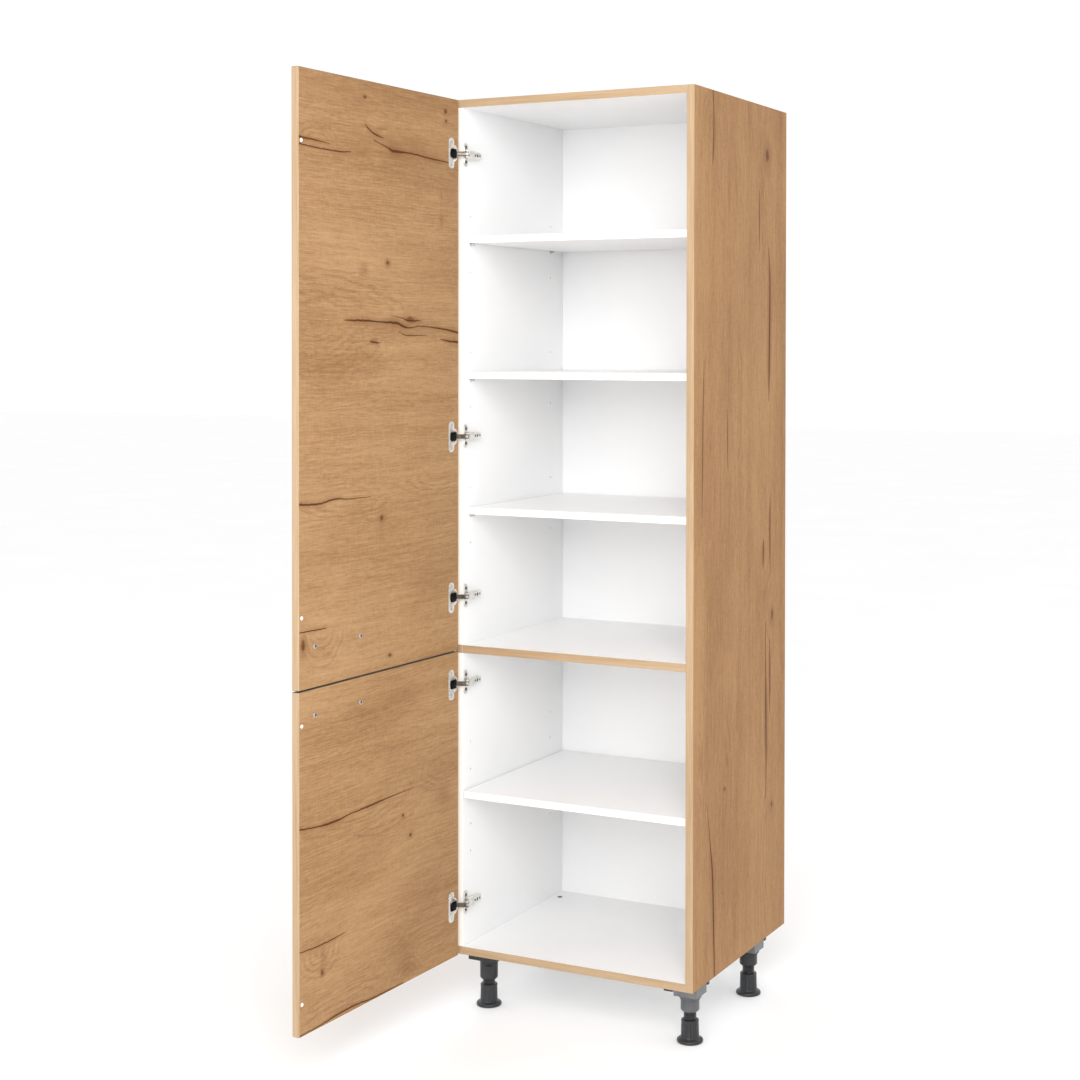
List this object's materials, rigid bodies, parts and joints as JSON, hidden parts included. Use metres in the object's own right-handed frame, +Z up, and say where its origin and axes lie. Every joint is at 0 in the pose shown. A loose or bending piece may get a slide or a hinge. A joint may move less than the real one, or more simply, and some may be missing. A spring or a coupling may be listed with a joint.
{
  "type": "pantry cabinet",
  "caption": "Tall wood-decor pantry cabinet with a long upper door and a short lower door, loose shelves, concealed hinges, bar handles and levelling legs.",
  "frame": {"origin": "middle of the rectangle of floor that the cabinet covers with both doors open, at floor level", "axes": "+Z up, +Y from the cabinet's front to its back, +X to the right when seen from the front"},
  "size_m": [0.6628, 1.1659, 2.118],
  "materials": {
    "wild_oak_decor": "matt printed oak decor on particle board, lighter edge band",
    "white_melamine": "white melamine on particle board",
    "handle_steel": "brushed",
    "pin_steel": "bright zinc plated",
    "nickel_plate": "bright nickel plated",
    "zinc_plate": "satin nickel plated",
    "dark_grey_plastic": "moulded"
  },
  "bodies": {
    "carcass": {"side_left": "wild_oak_decor", "side_right": "wild_oak_decor", "top_panel": "wild_oak_decor", "bottom_panel": "wild_oak_decor", "middle_panel": "wild_oak_decor", "back_panel": "white_melamine", "shelf_1_pin_front_left": "pin_steel", "shelf_1_pin_front_right": "pin_steel", "shelf_1_pin_rear_left": "pin_steel", "shelf_1_pin_rear_right": "pin_steel", "shelf_2_pin_front_left": "pin_steel", "shelf_2_pin_front_right": "pin_steel", "shelf_2_pin_rear_left": "pin_steel", "shelf_2_pin_rear_right": "pin_steel", "shelf_3_pin_front_left": "pin_steel", "shelf_3_pin_front_right": "pin_steel", "shelf_3_pin_rear_left": "pin_steel", "shelf_3_pin_rear_right": "pin_steel", "shelf_4_pin_front_left": "pin_steel", "shelf_4_pin_front_right": "pin_steel", "shelf_4_pin_rear_left": "pin_steel", "shelf_4_pin_rear_right": "pin_steel", "upper_hinge_1_arm": "nickel_plate", "upper_hinge_1_plate": "zinc_plate", "upper_hinge_2_arm": "nickel_plate", "upper_hinge_2_plate": "zinc_plate", "upper_hinge_3_arm": "nickel_plate", "upper_hinge_3_plate": "zinc_plate", "lower_hinge_1_arm": "nickel_plate", "lower_hinge_1_plate": "zinc_plate", "lower_hinge_2_arm": "nickel_plate", "lower_hinge_2_plate": "zinc_plate", "leg_front_left_socket": "dark_grey_plastic", "leg_front_right_socket": "dark_grey_plastic", "leg_rear_left_socket": "dark_grey_plastic", "leg_rear_right_socket": "dark_grey_plastic"},
    "upper_door": {"upper_door": "wild_oak_decor", "upper_handle": "handle_steel", "upper_hinge_1_cup": "nickel_plate", "upper_hinge_2_cup": "nickel_plate", "upper_hinge_3_cup": "nickel_plate"},
    "lower_door": {"lower_door": "wild_oak_decor", "lower_handle": "handle_steel", "lower_hinge_1_cup": "nickel_plate", "lower_hinge_2_cup": "nickel_plate"},
    "upper_hinge_links": {"upper_hinge_1_link": "nickel_plate", "upper_hinge_2_link": "nickel_plate", "upper_hinge_3_link": "nickel_plate"},
    "lower_hinge_links": {"lower_hinge_1_link": "nickel_plate", "lower_hinge_2_link": "nickel_plate"},
    "foot_front_left": {"leg_front_left_foot": "dark_grey_plastic"},
    "foot_front_right": {"leg_front_right_foot": "dark_grey_plastic"},
    "foot_rear_left": {"leg_rear_left_foot": "dark_grey_plastic"},
    "foot_rear_right": {"leg_rear_right_foot": "dark_grey_plastic"},
    "shelf_1": {"shelf_1": "white_melamine"},
    "shelf_2": {"shelf_2": "white_melamine"},
    "shelf_3": {"shelf_3": "white_melamine"},
    "shelf_4": {"shelf_4": "white_melamine"}
  },
  "joints": [
    {"name": "upper_door_swing", "type": "hinge", "parent": "carcass", "child": "upper_door", "pos_m": [-0.26538, 0.01227, 1.4], "axis": [0, 0, 1], "range_deg": [-18, 92]},
    {"name": "upper_links_swing", "type": "hinge", "parent": "carcass", "child": "upper_hinge_links", "pos_m": [-0.23458, 0.01597, 1.4], "axis": [0, 0, 1], "range_deg": [-23.5, 5]},
    {"name": "lower_door_swing", "type": "hinge", "parent": "carcass", "child": "lower_door", "pos_m": [-0.26538, 0.01227, 0.5], "axis": [0, 0, 1], "range_deg": [-18, 92]},
    {"name": "lower_links_swing", "type": "hinge", "parent": "carcass", "child": "lower_hinge_links", "pos_m": [-0.23458, 0.01597, 0.5], "axis": [0, 0, 1], "range_deg": [-23.5, 5]},
    {"name": "foot_front_left_level", "type": "slide", "parent": "carcass", "child": "foot_front_left", "axis": [0, 0, 1], "range_m": [-0.025, 0.009]},
    {"name": "foot_front_right_level", "type": "slide", "parent": "carcass", "child": "foot_front_right", "axis": [0, 0, 1], "range_m": [-0.025, 0.009]},
    {"name": "foot_rear_left_level", "type": "slide", "parent": "carcass", "child": "foot_rear_left", "axis": [0, 0, 1], "range_m": [-0.025, 0.009]},
    {"name": "foot_rear_right_level", "type": "slide", "parent": "carcass", "child": "foot_rear_right", "axis": [0, 0, 1], "range_m": [-0.025, 0.009]},
    {"name": "shelf_1_lift", "type": "slide", "parent": "carcass", "child": "shelf_1", "axis": [0, 0, 1], "range_m": [0, 0.03]},
    {"name": "shelf_2_lift", "type": "slide", "parent": "carcass", "child": "shelf_2", "axis": [0, 0, 1], "range_m": [0, 0.03]},
    {"name": "shelf_3_lift", "type": "slide", "parent": "carcass", "child": "shelf_3", "axis": [0, 0, 1], "range_m": [0, 0.03]},
    {"name": "shelf_4_lift", "type": "slide", "parent": "carcass", "child": "shelf_4", "axis": [0, 0, 1], "range_m": [0, 0.03]}
  ],
  "couplings": [
    {"joint": "upper_links_swing", "follows": "upper_door_swing", "ratio": -0.25},
    {"joint": "lower_links_swing", "follows": "lower_door_swing", "ratio": -0.25}
  ]
}
